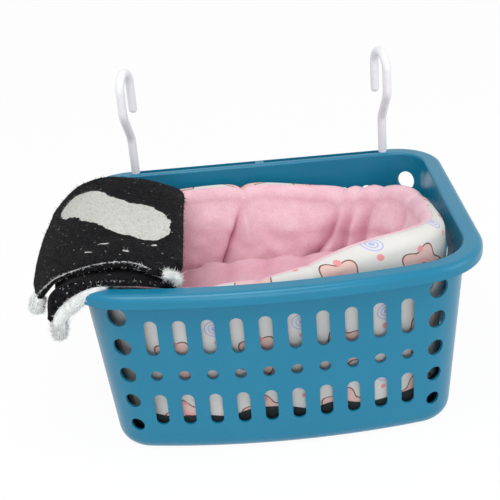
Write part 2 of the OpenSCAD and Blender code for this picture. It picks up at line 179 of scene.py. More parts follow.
def moulded_plastic(name, colour, shade, roughness, grain_mm):
    """Polypropylene from a fine-sparked mould: faint clouds in the colour and a fine grain in the gloss."""
    material, tree = finish_named(name)
    place = add(tree, "TexCoord").outputs["Object"]
    clouds = add(tree, "TexNoise", {"Vector": place, "Scale": per_metre(CLOUDS_MM), "Detail": 2.0})
    tint = blend_colour(tree, clouds.outputs["Fac"], linear(colour), linear(shade))
    grain = add(tree, "TexNoise", {"Vector": place, "Scale": per_metre(grain_mm), "Detail": 3.0})
    bump = add(tree, "Bump", {"Height": grain.outputs["Fac"], "Strength": 0.06, "Distance": 0.3 * MM})
    gloss = add(tree, "MapRange", {"Value": clouds.outputs["Fac"], "To Min": roughness - GLOSSIER,
                                   "To Max": roughness + DULLER})
    close_finish(tree, tint, bump.outputs["Normal"], roughness=gloss.outputs["Result"], ior=PLASTIC_IOR,
                 specular_ior_level=PLASTIC_SHINE)
    return material


basket_plastic = moulded_plastic("teal_polypropylene", "#157c9d", "#107496", 0.27, 1.2)
hook_plastic = moulded_plastic("white_polypropylene", "#eceef1", "#e3e6ea", 0.3, 1.5)
for node, finish in (("basket", basket_plastic), ("hook_left", hook_plastic), ("hook_right", hook_plastic)):
    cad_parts[node].data.materials.clear()
    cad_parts[node].data.materials.append(finish)
    print(node, "is finished in", finish.name)

# %% [markdown]
# ## Helpers for surfaces
# Every new piece is a grid of points: rows along a path, columns round the piece or across it.
# Sculpting could give such shapes too, but a formula is changed by one number. The columns may
# close on themselves, and rows that shrink to a point are merged afterwards.


# %% Grid surfaces
def grid_corners(rows, columns, closed):
    """Row and column numbers of every face's corners, the last column joined to the first if closed."""
    i, j = np.meshgrid(np.arange(rows - 1), np.arange(columns if closed else columns - 1), indexing="ij")
    i, j = i.ravel(), j.ravel()
    return np.stack([i, i, i + 1, i + 1], axis=1), np.stack([j, j + 1, j + 1, j], axis=1)


def grid_piece(name, points, closed=False, flat=None):
    """Makes an object from points[row, column].
    flat[row, column] is its UV map, one column longer if the columns close."""
    rows, columns = points.shape[:2]
    i, j = grid_corners(rows, columns, closed)
    mesh = bpy.data.meshes.new(name)
    mesh.from_pydata(points.reshape(-1, 3).tolist(), [], (i * columns + j % columns).tolist())
    if flat is not None:
        mesh.uv_layers.new(name="flat").data.foreach_set("uv", flat[i, j].astype(np.float32).ravel())
    return put_in_scene(name, mesh)


def set_crease(piece, crease):
    """Keeps each point's painted shade, 0 to 1, as an attribute that darkens the colour in a finish."""
    kept = piece.data.attributes.new("crease", "FLOAT", "POINT")
    kept.data.foreach_set("value", crease.astype(np.float32).ravel())


def close_up(piece, merge=0.01 * MM):
    """Merges doubled points, drops faces without area, points the faces outwards and smooths them."""
    work = bmesh.new()
    work.from_mesh(piece.data)
    bmesh.ops.remove_doubles(work, verts=work.verts, dist=merge)
    bmesh.ops.dissolve_degenerate(work, edges=work.edges, dist=merge / 10)
    bmesh.ops.recalc_face_normals(work, faces=work.faces)
    work.to_mesh(piece.data)
    work.free()
    piece.data.shade_smooth()


def wear(piece, finish, body, *stands_for):
    """Gives a piece its finish, its body and the nodes that it stands for."""
    piece.data.materials.append(finish)
    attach(piece, body)
    if stands_for:
        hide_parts(*stands_for)
    print(piece.name, "has", len(piece.data.polygons), "faces")


def unit(vectors):
    """The same directions with length 1."""
    return vectors / np.linalg.norm(vectors, axis=-1, keepdims=True)


# %% [markdown]
# ## The nest's outline
# The nest is a rounded rectangle in plan, a superellipse that leans out with the basket's walls.
# Its crest is not level: it rises at the front right, dips at the back right, is pressed down under
# the blanket and has a notch at each fold. Where the front wall stands up above the rim, nothing
# holds it, so it slumps inwards. Layers modelled one by one would cut through each other, so every
# layer of the nest is the same outline, set in by some depth.

# %% Nest outline
NEST_SQUARE = 4.2
NEST_LEAN = math.tan(math.radians(5.1))
NEST_WALL, NEST_FOOT, NEST_PLAIN_H, NEST_FLOOR = 17 * MM, 7 * MM, 137 * MM, 43 * MM
CREST_R = NEST_WALL / 2
# The crest lies this much below the plain height everywhere
CREST_SET = 1.5 * MM
# Directions and spreads are in degrees: 0 is right, 90 is the back
RISE_AT, RISE_SPREAD, RISE = 322, 34, 20 * MM
DIP_AT, DIP_SPREAD, DIP = 52, 30, 9.5 * MM
PRESS_AT, PRESS_SPREAD, PRESS = 180, 45, 4 * MM
SLUMP_AT, SLUMP_SPREAD, SLUMP, SLUMP_FROM, SLUMP_EASE = 300, 45, 0.36, 112 * MM, 10 * MM
base_low, base_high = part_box("nest_base_cloth")
BASE_BAND = base_high.z
NEST_MID_Y = (base_low.y + base_high.y) / 2
NEST_HALF_X = base_high.x - NEST_LEAN * BASE_BAND
NEST_HALF_Y = (base_high.y - base_low.y) / 2 - NEST_LEAN * BASE_BAND
NEST_COLUMNS = 540
around = np.arange(NEST_COLUMNS) * 360 / NEST_COLUMNS


def swell(direction, middle, spread):
    """A bell in direction, in degrees, that is 1 at its middle."""
    off = np.abs((direction - middle + 540) % 360 - 180)
    return np.exp(-(off / spread) ** 2)


def ease(value, low, high):
    """Smooth step from 0 at low to 1 at high."""
    share = np.clip((value - low) / (high - low), 0, 1)
    return share * share * (3 - 2 * share)


def all_round(column, directions=around):
    """One column of values, the same in every direction."""
    return np.repeat(column, len(directions), axis=1)


def outline(direction, inset, height):
    """Points of the leaning superellipse |x/a|^n + |y/b|^n = 1, both half axes less inset and slump.
    The slump is the free height above its start squared, over that height plus its ease."""
    free = np.maximum(0, height - SLUMP_FROM)
    inset = inset + SLUMP * swell(direction, SLUMP_AT, SLUMP_SPREAD) * free ** 2 / (free + SLUMP_EASE)
    a = NEST_HALF_X + NEST_LEAN * height - inset
    b = NEST_HALF_Y + NEST_LEAN * height - inset
    cos, sin = np.cos(np.radians(direction)), np.sin(np.radians(direction))
    reach = ((np.abs(cos) / a) ** NEST_SQUARE + (np.abs(sin) / b) ** NEST_SQUARE) ** (-1 / NEST_SQUARE)
    return np.stack([reach * cos, NEST_MID_Y + reach * sin, height + 0 * reach], axis=-1)


def with_pole(points, height):
    """Adds a last row in which every column meets on the middle line."""
    return np.concatenate([points, np.full((1, points.shape[1], 3), (0, NEST_MID_Y, height))])


# %% Folds and crest
# Direction of each deep fold at the crest, how far it swings on its way down, and how late it does so
FOLDS = np.array([[18, -4, 1], [39, 2, 1], [46, 3, 1], [52, 40, 3], [101, 26, 1], [140, 4, 1], [162, 0, 1],
                  [186, 6, 1], [212, -5, 1], [240, 8, 1], [262, -6, 1], [286, 9, 1], [338, 4, 1]])
MM_PER_DEGREE = 1.75
# Folds notch the crest, apart from where the rise stretches it
NOTCH, NOTCH_W_MM, STRETCHED_SPREAD = 4.5 * MM, 5, 60
# The cover's seam, in degrees inwards from the top of the crest, and what is added to it round a direction:
# it lies further in along the back, a little less far at the front, and on the outside at the back right
SEAM_TURN = 6
SEAM_ROLLS = ((14, 108, 32), (-4, 305, 50), (-44, 38, 24))
# Lengths round the nest and down its wall over which the soft wrinkles are counted
WRINKLE_ROUND_MM, WRINKLE_DOWN_MM = 560, 95


def fold_gap(direction, share):
    """Distance in mm along the wall to the nearest fold, at that share of the way down."""
    start, swing, late = (FOLDS[:, k, None, None] for k in range(3))
    off = np.abs((direction - start - swing * share ** late + 540) % 360 - 180)
    return off.min(axis=0) * MM_PER_DEGREE


def crest(direction):
    """Height of the crest: plain height plus the rise, less the dip, press, notches and set."""
    notch = NOTCH * np.exp(-fold_gap(direction, np.zeros((1, 1)))[0] / NOTCH_W_MM)
    notch = notch * (1 - swell(direction, RISE_AT, STRETCHED_SPREAD))
    level = NEST_PLAIN_H + RISE * swell(direction, RISE_AT, RISE_SPREAD)
    level = level - DIP * swell(direction, DIP_AT, DIP_SPREAD)
    return level - PRESS * swell(direction, PRESS_AT, PRESS_SPREAD) - notch - CREST_SET


def waves(seed, direction, share, size_mm, count=9):
    """Soft wrinkles: a sum of sine waves in random directions, about 1 at their highest."""
    draw = np.random.default_rng(seed)
    turns = np.rint(draw.normal(0, WRINKLE_ROUND_MM / size_mm / 2, count))
    steps = draw.normal(0, WRINKLE_DOWN_MM / size_mm / 2, count)
    phase = draw.uniform(0, 2 * math.pi, count)
    angle = np.radians(direction)
    total = [np.sin(angle * t + 2 * math.pi * share * s + p) for t, s, p in zip(turns, steps, phase)]
    return sum(total) / math.sqrt(count)


crest_z = crest(around)
seam_turn = SEAM_TURN + sum(roll * swell(around, at, spread) for roll, at, spread in SEAM_ROLLS)
print("crest from", round(crest_z.min() / MM), "to", round(crest_z.max() / MM), "mm")

# %% [markdown]
# ## Plush lining
# The inside of the nest is short pink plush over wadding. It is caught down along a few folds, so it
# swells between them like a quilt. A cloth simulation would put the folds where it likes, so the
# swell is a formula: a plateau that falls sharply into each fold, which is what gives stuffed cloth
# its creases, with soft wrinkles over it. Painted shade makes the creases and the floor deeper pink.

# %% Plush finish
NAP_PATCH_MM = 16


def plush(name, colour, nap_colour, crease_colour, nap_mm, sheen):
    """Short knitted polyester plush: a velvety pile whose nap lies in patches, so the colour shifts softly.
    One fibre is too fine to show, so the pile is drawn as tufts that are nap_mm apart."""
    material, tree = finish_named(name)
    place = add(tree, "TexCoord").outputs["Object"]
    patches = add(tree, "TexNoise", {"Vector": place, "Scale": per_metre(NAP_PATCH_MM), "Detail": 4.0,
                                     "Roughness": 0.6})
    pile = add(tree, "TexNoise", {"Vector": place, "Scale": per_metre(nap_mm), "Detail": 3.0,
                                  "Roughness": 0.65})
    share = add(tree, "MapRange", {"Value": patches.outputs["Fac"], "From Min": 0.32, "From Max": 0.68})
    tint = blend_colour(tree, share.outputs["Result"], linear(nap_colour), linear(colour))
    # Painted shade: the colour darkens to the shade colour as far as the piece's shade attribute says
    painted_shade = add(tree, "Attribute", attribute_name="crease").outputs["Fac"]
    tint = blend_colour(tree, painted_shade, tint, linear(crease_colour))
    flecks = add(tree, "MapRange", {"Value": pile.outputs["Fac"], "From Min": 0.3, "From Max": 0.7,
                                    "To Min": 0.9, "To Max": 1.06})
    tint = scale_colour(tree, tint, flecks.outputs["Result"])
    bump = add(tree, "Bump", {"Height": pile.outputs["Fac"], "Strength": 0.35, "Distance": 0.6 * MM})
    close_finish(tree, tint, bump.outputs["Normal"], roughness=0.95, sheen_weight=sheen,
                 sheen_roughness=0.45, specular_ior_level=0.15)
    return material


# The third colour is the painted shade in the lining's folds, at its floor and on the cushion
pink_plush = plush("pink_short_plush", "#f5cdd8", "#eabac7", "#d391a6", 1.4, 0.25)
print("finish:", pink_plush.name)

# %% Lining surface
WALL_ROWS, CREST_ROWS, FLOOR_ROWS = 70, 14, 8
LINING_T = 1.5 * MM
# The swell between folds, the width over which it falls into one, and the shares of the wall's height
# at which it is full and begins to end
LINING_PUFF, FOLD_W_MM, PUFF_FULL, PUFF_ENDS = 9.5 * MM, 4.5, 0.3, 0.75
# Height, seed and size in mm of the wrinkles
LINING_WRINKLES = ((0.9 * MM, 3, 46), (0.4 * MM, 4, 17))
# Painted shade: how deep in a fold and over what width, and at the floor and from what share of the way
# down
FOLD_SHADE, FOLD_SHADE_W_MM, FOOT_SHADE, FOOT_SHADE_FROM = 0.7, 3.5, 0.3, 0.5
wall_share = np.linspace(0, 1, WALL_ROWS)[1:, None]


def lining_section():
    """Inset and height of the lining, row by row.
    They run from the seam over the crest, down the wall and in to the middle of the floor."""
    angle = np.radians((90 - seam_turn) * (1 - np.linspace(0, 1, CREST_ROWS)[:, None]))
    crest_d = CREST_R + CREST_R * np.cos(angle)
    crest_h = crest_z - CREST_R + CREST_R * np.sin(angle)
    swollen = 1 - np.exp(-fold_gap(around, wall_share) / FOLD_W_MM)
    swollen = swollen * ease(wall_share, 0, PUFF_FULL) * ease(-wall_share, -1, -PUFF_ENDS)
    wrinkle = sum(high * waves(seed, around, wall_share, size) for high, seed, size in LINING_WRINKLES)
    wall_d = NEST_WALL + NEST_FOOT * wall_share ** 2 + LINING_PUFF * swollen
    wall_d = wall_d + wrinkle * np.sin(math.pi * wall_share)
    wall_h = crest_z - CREST_R + (NEST_FLOOR - crest_z + CREST_R) * wall_share
    across = np.linspace(0, 1, FLOOR_ROWS)[1:, None]
    floor_d = all_round(NEST_WALL + NEST_FOOT + across * (NEST_HALF_Y - NEST_WALL - NEST_FOOT))
    floor_h = np.full(floor_d.shape, NEST_FLOOR)
    return np.concatenate([crest_d, wall_d, floor_d]), np.concatenate([crest_h, wall_h, floor_h])


def lining_crease():
    """Painted shade at each point of the lining, 0 to 1: less away from a fold, more near the floor."""
    fold = FOLD_SHADE * np.exp(-fold_gap(around, wall_share) / FOLD_SHADE_W_MM) * ease(wall_share, 0, PUFF_FULL)
    wall = np.maximum(fold, FOOT_SHADE * ease(wall_share, FOOT_SHADE_FROM, 1))
    return np.concatenate([np.zeros((CREST_ROWS, NEST_COLUMNS)), wall, np.ones((FLOOR_ROWS, NEST_COLUMNS))])


lining_inset, lining_height = lining_section()
lining_points = with_pole(outline(around, lining_inset, lining_height), NEST_FLOOR)
lining = grid_piece("nest_plush_lining", lining_points, closed=True)
set_crease(lining, lining_crease())
close_up(lining)
lining.modifiers.new("cloth thickness", "SOLIDIFY").thickness = LINING_T
wear(lining, pink_plush, "nest", "nest_lining", "nest_wadding")

# %% [markdown]
# ## Printed cover and dark base
# The outside of the nest is thin white cotton with a scattered print: round flowers in dusty pink with
# a brown outline, small rings and dots. The underside is dark cloth that comes a little way up the sides.
# The print could be a picture laid on the cloth, but worked out from distances it stays sharp at any
# size. The cover's UV map is its real length and height in metres, so the print keeps its size.

# %% Print finish
FLOWER_R, PETALS, PETAL_WAVE, BLUSH_R, EYE_R = 15 * MM, 5.0, 2.6 * MM, 7.5 * MM, 4 * MM
OUTLINE_W, EYE_LINE_W = 1.1 * MM, 0.8 * MM
# Radius and line width of each ring
RINGS = MM * np.array([(6.2, 0.9), (3.6, 0.9), (1.0, 1.6)])
DOT_R, DOT_GROWTH, DOT_UP = 1.4 * MM, 1.6 * MM, 0.22
FADE_MM = 14
# Threads are about 0.35 mm apart on such cotton, drawn at 0.9 mm so that they show
THREAD_MM = 0.9


def repeat_cell(tree, flat, pitch, shift):
    """Place inside one repeat of the print, centred on zero, and a random number for that repeat."""
    moved = add(tree, "VectorMath", {0: flat, 1: (*shift, 0)}, operation="ADD").outputs[0]
    scaled = add(tree, "VectorMath", {0: moved, 1: (*pitch, 1)}, operation="DIVIDE").outputs[0]
    number = add(tree, "VectorMath", {0: scaled}, operation="FLOOR").outputs[0]
    chance = add(tree, "TexWhiteNoise", {"Vector": number}, noise_dimensions="2D").outputs["Value"]
    inside = add(tree, "VectorMath", {0: scaled}, operation="FRACTION").outputs[0]
    centred = add(tree, "VectorMath", {0: inside, 1: (0.5, 0.5, 0)}, operation="SUBTRACT").outputs[0]
    sized = add(tree, "VectorMath", {0: centred, 1: (*pitch, 0)}, operation="MULTIPLY").outputs[0]
    return sized, chance


def length_of(tree, place):
    """Distance from zero."""
    return add(tree, "VectorMath", {0: place}, operation="LENGTH").outputs["Value"]


def line_at(tree, gap, width):
    """1 where a distance is within half a line's width of zero."""
    return calc(tree, "LESS_THAN", calc(tree, "ABSOLUTE", gap), width / 2)


def print_flowers(tree, flat, repeat, colour):
    """Flowers over a colour: the edge is a circle with a cosine wave of petals, turned by chance."""
    place, chance = repeat_cell(tree, flat, repeat, (0, 0.5 * repeat[1]))
    split = add(tree, "SeparateXYZ", {0: place})
    angle = calc(tree, "ARCTAN2", split.outputs["Y"], split.outputs["X"])
    turned = calc(tree, "MULTIPLY_ADD", chance, 2 * math.pi, angle)
    petals = calc(tree, "COSINE", calc(tree, "MULTIPLY", turned, PETALS))
    away = length_of(tree, place)
    edge_gap = calc(tree, "SUBTRACT", away, calc(tree, "MULTIPLY_ADD", petals, PETAL_WAVE, FLOWER_R))
    eye_gap = calc(tree, "SUBTRACT", away, EYE_R)
    for gap, tone in ((edge_gap, "#e6c1ba"), (calc(tree, "SUBTRACT", away, BLUSH_R), "#eab3ae"),
                      (eye_gap, "#dd8f8f")):
        colour = blend_colour(tree, calc(tree, "LESS_THAN", gap, 0.0), colour, linear(tone))
    for gap, width in ((edge_gap, OUTLINE_W), (eye_gap, EYE_LINE_W)):
        colour = blend_colour(tree, line_at(tree, gap, width), colour, linear("#7d5a50"))
    return colour


def print_rings(tree, flat, repeat, colour):
    """Concentric rings over a colour, half a repeat to the side of the flowers."""
    place, _ = repeat_cell(tree, flat, repeat, (0.5 * repeat[0], 0.0))
    away = length_of(tree, place)
    for radius, width in RINGS:
        ring = line_at(tree, calc(tree, "SUBTRACT", away, radius), width)
        colour = blend_colour(tree, ring, colour, linear("#aeb4e2"))
    return colour


def print_dots(tree, flat, repeat, colour):
    """Dots of chance size over a colour, two to each repeat."""
    pitch = (0.5 * repeat[0], repeat[1])
    place, chance = repeat_cell(tree, flat, pitch, (0.25 * repeat[0], DOT_UP * repeat[1]))
    size = calc(tree, "MULTIPLY_ADD", chance, DOT_GROWTH, DOT_R)
    dot = calc(tree, "LESS_THAN", length_of(tree, place), size)
    return blend_colour(tree, dot, colour, linear("#e79a9c"))


def printed_cotton(name, repeat):
    """White cotton with flowers, rings and dots printed on it, and a plain weave in the bump."""
    material, tree = finish_named(name)
    flat = add(tree, "UVMap", uv_map="flat").outputs["UV"]
    colour = linear("#dad8d4")
    for motif in (print_flowers, print_rings, print_dots):
        colour = motif(tree, flat, repeat, colour)
    soft = add(tree, "TexNoise", {"Vector": flat, "Scale": per_metre(FADE_MM), "Detail": 3.0})
    fade = add(tree, "MapRange", {"Value": soft.outputs["Fac"], "To Min": 0.94, "To Max": 1.02})
    colour = scale_colour(tree, colour, fade.outputs["Result"])
    warp, weft = (add(tree, "TexWave", {"Vector": flat, "Scale": wave_scale(THREAD_MM)},
                      bands_direction=axis).outputs["Fac"] for axis in "XY")
    bump = add(tree, "Bump", {"Height": calc(tree, "ADD", warp, weft), "Strength": 0.15,
                              "Distance": 0.15 * MM})
    close_finish(tree, colour, bump.outputs["Normal"], roughness=0.85, specular_ior_level=0.15)
    return material


# %% Cover surface
COVER_ROWS = 60
COVER_T, COVER_TUCK, COVER_SET = 0.8 * MM, 6 * MM, 0.6 * MM
# How far slack cloth falls in, the size of its waves and the most of it
SLACK, SLACK_MM, SLACK_MOST = 1.6 * MM, 60, 1.6
PRINT_REPEATS, PRINT_ROW = 13, 52 * MM


def cover_section():
    """Inset and height from under the base cloth's edge, up the outside and over the crest to the seam."""
    share = np.linspace(0, 1, COVER_ROWS)[:, None]
    low = BASE_BAND - COVER_TUCK
    side_h = low + (crest_z - CREST_R - low) * share
    slack = 0.5 + 0.5 * waves(5, around, share, SLACK_MM)
    side_d = COVER_SET + SLACK * np.clip(slack, 0, SLACK_MOST) * np.sin(math.pi * share)
    turn = np.linspace(0, 1, CREST_ROWS)[1:, None]
    angle = np.radians(180 - turn * (90 + seam_turn))
    crest_d = COVER_SET + (CREST_R - COVER_SET) * (1 + np.cos(angle))
    crest_h = crest_z - CREST_R + CREST_R * np.sin(angle)
    return np.concatenate([side_d, crest_d]), np.concatenate([side_h, crest_h])


def laid_flat(points):
    """UV map in metres: the distance round the lowest row, and the distance up each column."""
    ring_step = np.linalg.norm(np.roll(points[0], -1, axis=0) - points[0], axis=-1)
    along = np.concatenate([[0], np.cumsum(ring_step)])
    row_step = np.linalg.norm(np.diff(points, axis=0), axis=-1)
    up = np.concatenate([np.zeros((1, NEST_COLUMNS)), np.cumsum(row_step, axis=0)])
    up = np.concatenate([up, up[:, :1]], axis=1)
    return np.stack([np.broadcast_to(along, up.shape), up], axis=-1)


cover_points = outline(around, *cover_section())
cover_flat = laid_flat(cover_points)
print_repeat = (cover_flat[0, -1, 0] / PRINT_REPEATS, PRINT_ROW)
cover = grid_piece("nest_printed_cover", cover_points, closed=True, flat=cover_flat)
cover.modifiers.new("cloth thickness", "SOLIDIFY").thickness = COVER_T
cover.data.shade_smooth()
wear(cover, printed_cotton("printed_cotton", print_repeat), "nest", "nest_cover")
print("repeat of the print in mm:", [round(v / MM, 1) for v in print_repeat])


# %% Base cloth
def woven_cloth(name, colour, thread, thread_mm):
    """Plain woven polyester: two thread colours crossing, with their ridges in the bump.
    The threads are drawn a few times too coarse, at thread_mm, so that they show."""
    material, tree = finish_named(name)
    place = add(tree, "TexCoord").outputs["Object"]
    bands = [add(tree, "TexWave", {"Vector": place, "Scale": wave_scale(thread_mm), "Distortion": 0.4},
                 bands_direction=axis).outputs["Fac"] for axis in "XYZ"]
    weave = calc(tree, "MAXIMUM", calc(tree, "MAXIMUM", bands[0], bands[1]), bands[2])
    tint = blend_colour(tree, weave, linear(colour), linear(thread))
    bump = add(tree, "Bump", {"Height": weave, "Strength": 0.3, "Distance": 0.2 * MM})
    close_finish(tree, tint, bump.outputs["Normal"], roughness=0.9, sheen_weight=0.15,
                 specular_ior_level=0.2)
    return material


BASE_T, BASE_FOOT_R = 0.5 * MM, 15 * MM
# How far the upper edge wanders down, and the size of its waves
BASE_WANDER, BASE_WANDER_MM = 5 * MM, 38
FLAT_ROWS, FOOT_ROWS, SIDE_ROWS = 5, 12, 7
# The underside's innermost ring, as a share of the half depth: inside it the faces run to the middle
FLAT_INNER = 0.6


def base_section():
    """Inset and height of the base cloth: flat underside, rounded foot, then up the side to a wavy edge."""
    bottom = base_low.z
    edge = BASE_BAND - BASE_WANDER * (0.5 + 0.5 * waves(6, around, np.zeros((1, 1)), BASE_WANDER_MM))
    flat_d = all_round(np.linspace(FLAT_INNER * NEST_HALF_Y, BASE_FOOT_R, FLAT_ROWS + 1)[:-1, None])
    turn = np.radians(np.linspace(0, 90, FOOT_ROWS))[:, None]
    foot_d = all_round(BASE_FOOT_R * (1 - np.sin(turn)))
    foot_h = all_round(bottom + BASE_FOOT_R * (1 - np.cos(turn)))
    rise = np.linspace(0, 1, SIDE_ROWS + 1)[1:, None]
    side_h = bottom + BASE_FOOT_R + rise * (edge - bottom - BASE_FOOT_R)
    return (np.concatenate([flat_d, foot_d, 0 * side_h]),
            np.concatenate([np.full(flat_d.shape, bottom), foot_h, side_h]))


base_points = with_pole(outline(around, *base_section())[::-1], base_low.z)
base = grid_piece("nest_dark_base", base_points, closed=True)
close_up(base)
base.modifiers.new("cloth thickness", "SOLIDIFY").thickness = BASE_T
wear(base, woven_cloth("dark_base_cloth", "#14191b", "#2a3336", 1.2), "nest", "nest_base_cloth")

# %% [markdown]
# ## Floor cushion
# The nest's floor is a loose cushion with sewn channels. A formula alone leaves it stiff, so it starts
# as a slightly slack pillow, a cloth simulation with some air pressure inside swells it, and the
# channels are pressed in afterwards.

# %% Cushion
cushion_low, cushion_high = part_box("nest_cushion")
CUSHION_T = cushion_high.z - cushion_low.z
UNDER_ROWS, EDGE_ROWS, CUSHION_ROWS = 5, 8, 26
CUSHION_SIDE, CUSHION_GAP = 27 * MM, 4 * MM
# Shares of the way in at which the innermost rings lie, below and above
UNDER_INNER, TOP_INNER = 0.9, 0.96
VOXEL, PRESSURE, AIR_FRAMES, CUSHION_GROWTH = 4.5 * MM, 4, 20, 2 * MM
NO_TRAVEL = 1e-9
CHANNELS_X = np.array([-33, -1, 28]) * MM
CHANNEL_DEPTH, CHANNEL_W = 4 * MM, 5 * MM
# Painted shade on the whole cushion, and more of it in the channels
CUSHION_PAINTED_SHADE, CHANNEL_PAINTED_SHADE = 0.3, 0.35
BACK_CURL, CURL_FROM, CURL_TO = 14 * MM, 38 * MM, 66 * MM
cushion_around = around[::6]


def cushion_points():
    """A pillow: the underside, the full edge, then a crown whose height is (1 - (1 - s)^4)^(1/2).
    The floor is cut larger than the basket, so its back edge curls up against the wall."""
    inset = NEST_WALL + NEST_FOOT + CUSHION_GAP
    foot = inset + CUSHION_SIDE / 2
    under = np.linspace(UNDER_INNER, 0, UNDER_ROWS + 1)[:-1, None]
    under_d = foot + under * (NEST_HALF_Y - foot)
    turn = np.radians(np.linspace(0, 90, EDGE_ROWS))[:, None]
    side_d = inset + CUSHION_SIDE / 2 * (1 - np.sin(turn))
    side_h = cushion_low.z + CUSHION_SIDE * (1 - np.cos(turn))
    share = np.linspace(0, TOP_INNER, CUSHION_ROWS)[1:, None]
    top_d = inset + share * (NEST_HALF_Y - inset)
    top_h = cushion_low.z + CUSHION_SIDE + (CUSHION_T - CUSHION_SIDE) * np.sqrt(1 - (1 - share) ** 4)
    depth = np.concatenate([under_d, side_d, top_d])
    height = np.concatenate([np.full(under_d.shape, cushion_low.z), side_h, top_h])
    points = outline(cushion_around, all_round(depth, cushion_around), all_round(height, cushion_around))
    lifted = (points[..., 2] - cushion_low.z) / CUSHION_T
    points[..., 2] += BACK_CURL * ease(points[..., 1], CURL_FROM, CURL_TO) * lifted
    return with_pole(with_pole(points[::-1], cushion_low.z)[::-1], cushion_high.z)


def places_of(piece):
    """The piece's points, one to a row."""
    place = np.empty(len(piece.data.vertices) * 3)
    piece.data.vertices.foreach_get("co", place)
    return place.reshape(-1, 3)


def apply_all(piece):
    """Replaces the mesh by what its modifiers make of it."""
    graph = bpy.context.evaluated_depsgraph_get()
    made = bpy.data.meshes.new_from_object(piece.evaluated_get(graph))
    piece.modifiers.clear()
    piece.data = made


def swell_cushion(piece):
    """Voxel remesh, then some frames of cloth under pressure; no point moves past the growth allowed."""
    remesh = piece.modifiers.new("even mesh", "REMESH")
    remesh.mode, remesh.voxel_size = "VOXEL", VOXEL
    apply_all(piece)
    start = places_of(piece)
    cloth = piece.modifiers.new("air", "CLOTH")
    cloth.settings.use_pressure = True
    cloth.settings.uniform_pressure_force = PRESSURE
    cloth.settings.effector_weights.gravity = 0
    for step in range(1, AIR_FRAMES + 1):
        bpy.context.scene.frame_set(step)
    apply_all(piece)
    travel = places_of(piece) - start
    far = np.linalg.norm(travel, axis=1, keepdims=True)
    travel *= np.minimum(1, CUSHION_GROWTH / np.maximum(far, NO_TRAVEL))
    piece.data.vertices.foreach_set("co", (start + travel).ravel())
    bpy.context.scene.frame_set(1)


def press_channels(piece):
    """Presses in the sewn channels, paints shade on the cushion, more in them, and levels the underside."""
    place = places_of(piece)
    over = np.clip((place[:, 2] - cushion_low.z) / CUSHION_T, 0, 1)
    dent = np.exp(-np.abs((place[:, :1] - CHANNELS_X) / CHANNEL_W)).max(axis=1)
    place[:, 2] = np.maximum(place[:, 2] - CHANNEL_DEPTH * dent * over, cushion_low.z)
    piece.data.vertices.foreach_set("co", place.ravel())
    set_crease(piece, CUSHION_PAINTED_SHADE + CHANNEL_PAINTED_SHADE * dent)
    piece.data.update()


cushion = grid_piece("nest_floor_cushion", cushion_points(), closed=True)
close_up(cushion, merge=0.3 * MM)
swell_cushion(cushion)
press_channels(cushion)
cushion.data.shade_smooth()
subdivision = cushion.modifiers.new("smooth", "SUBSURF")
subdivision.levels = subdivision.render_levels = 1
wear(cushion, pink_plush, "nest", "nest_cushion")

# %% [markdown]
# ## Folded blanket
# One strip of plush is folded double: its fold lies towards the nest and both ends flop over the left
# rim. A simulation wouldn't fall into just this fold, so the strip's middle line passes a few places
# that were read off the picture, with its corners cut away again and again until it is smooth. The
# cloth is a soft slab carried along that line: it is pressed thin where it bends over the rim, its
# edges round off, and the back corner of the fold droops into the nest.

# %% Blanket route
FRONT_LOWER, FRONT_UPPER, BACK_EDGE = -97 * MM, -86 * MM, 67 * MM
BLANKET_L = BACK_EDGE - FRONT_LOWER
BLANKET_ROWS, CORNER_CUTS = 210, 4
# Places [x, z] in mm: up the lower end, over the rim, round the fold, back over the rim to the upper end
BLANKET_WAY = MM * np.array([
    (-156, 104), (-154.5, 115), (-152.5, 126), (-150.6, 134.5), (-149.3, 142), (-141.5, 145), (-132, 145.4),
    (-118, 145.5), (-101, 145), (-87, 143), (-77, 141), (-70.5, 139.6), (-66, 141.4), (-66, 146.4),
    (-70, 148.2), (-79, 149.8), (-92, 152.4), (-104, 153.8), (-114, 154.2), (-123, 153.4), (-131, 151.8),
    (-139, 149.6), (-147, 147), (-153.5, 142), (-160.5, 135), (-166.5, 129.2), (-171, 124.5)])
# The same at the front, where the lower layer flops over the basket's rounded corner
CORNER_WAY = BLANKET_WAY.copy()
CORNER_WAY[:8] = MM * np.array([(-154.5, 122), (-152.5, 127.5), (-149.8, 132.5), (-146.5, 137),
                                (-142, 140.5), (-136, 143), (-128, 145), (-117, 146)])
strip_share = np.linspace(0, 1, BLANKET_ROWS)


def rounded(path, times):
    """Corner cutting: puts new points at one and three quarters of every leg and keeps the two ends."""
    for _ in range(times):
        cut = np.stack([0.75 * path[:-1] + 0.25 * path[1:], 0.25 * path[:-1] + 0.75 * path[1:]], axis=1)
        path = np.concatenate([path[:1], cut.reshape(-1, 2), path[-1:]])
    return path


def even_strip(path):
    """Places and headings at even steps along the smoothed path, and its length."""
    smooth = rounded(path, CORNER_CUTS)
    run = np.concatenate([[0], np.cumsum(np.linalg.norm(np.diff(smooth, axis=0), axis=1))])
    places = np.stack([np.interp(strip_share * run[-1], run, smooth[:, k]) for k in (0, 1)], axis=1)
    return np.concatenate([places, unit(np.gradient(places, axis=0))], axis=1), float(run[-1])


strip, STRIP_LENGTH = even_strip(BLANKET_WAY)
corner_strip, _ = even_strip(CORNER_WAY)
FOLD_SHARE = float(strip_share[np.argmax(strip[:, 0])])
print("blanket strip in mm:", round(STRIP_LENGTH / MM), "fold at", round(FOLD_SHARE, 2))

# %% Blanket surface
BLANKET_COLUMNS, EDGE_POWER = 110, 26
BLANKET_T, PRESSED_T, PRESSED_X, PRESSED_SPREAD = 6 * MM, 3.4 * MM, -146 * MM, 12 * MM
# Shares of the half thickness at the rows that round off an end
END_ROUND = [0, 0.6, 0.88]
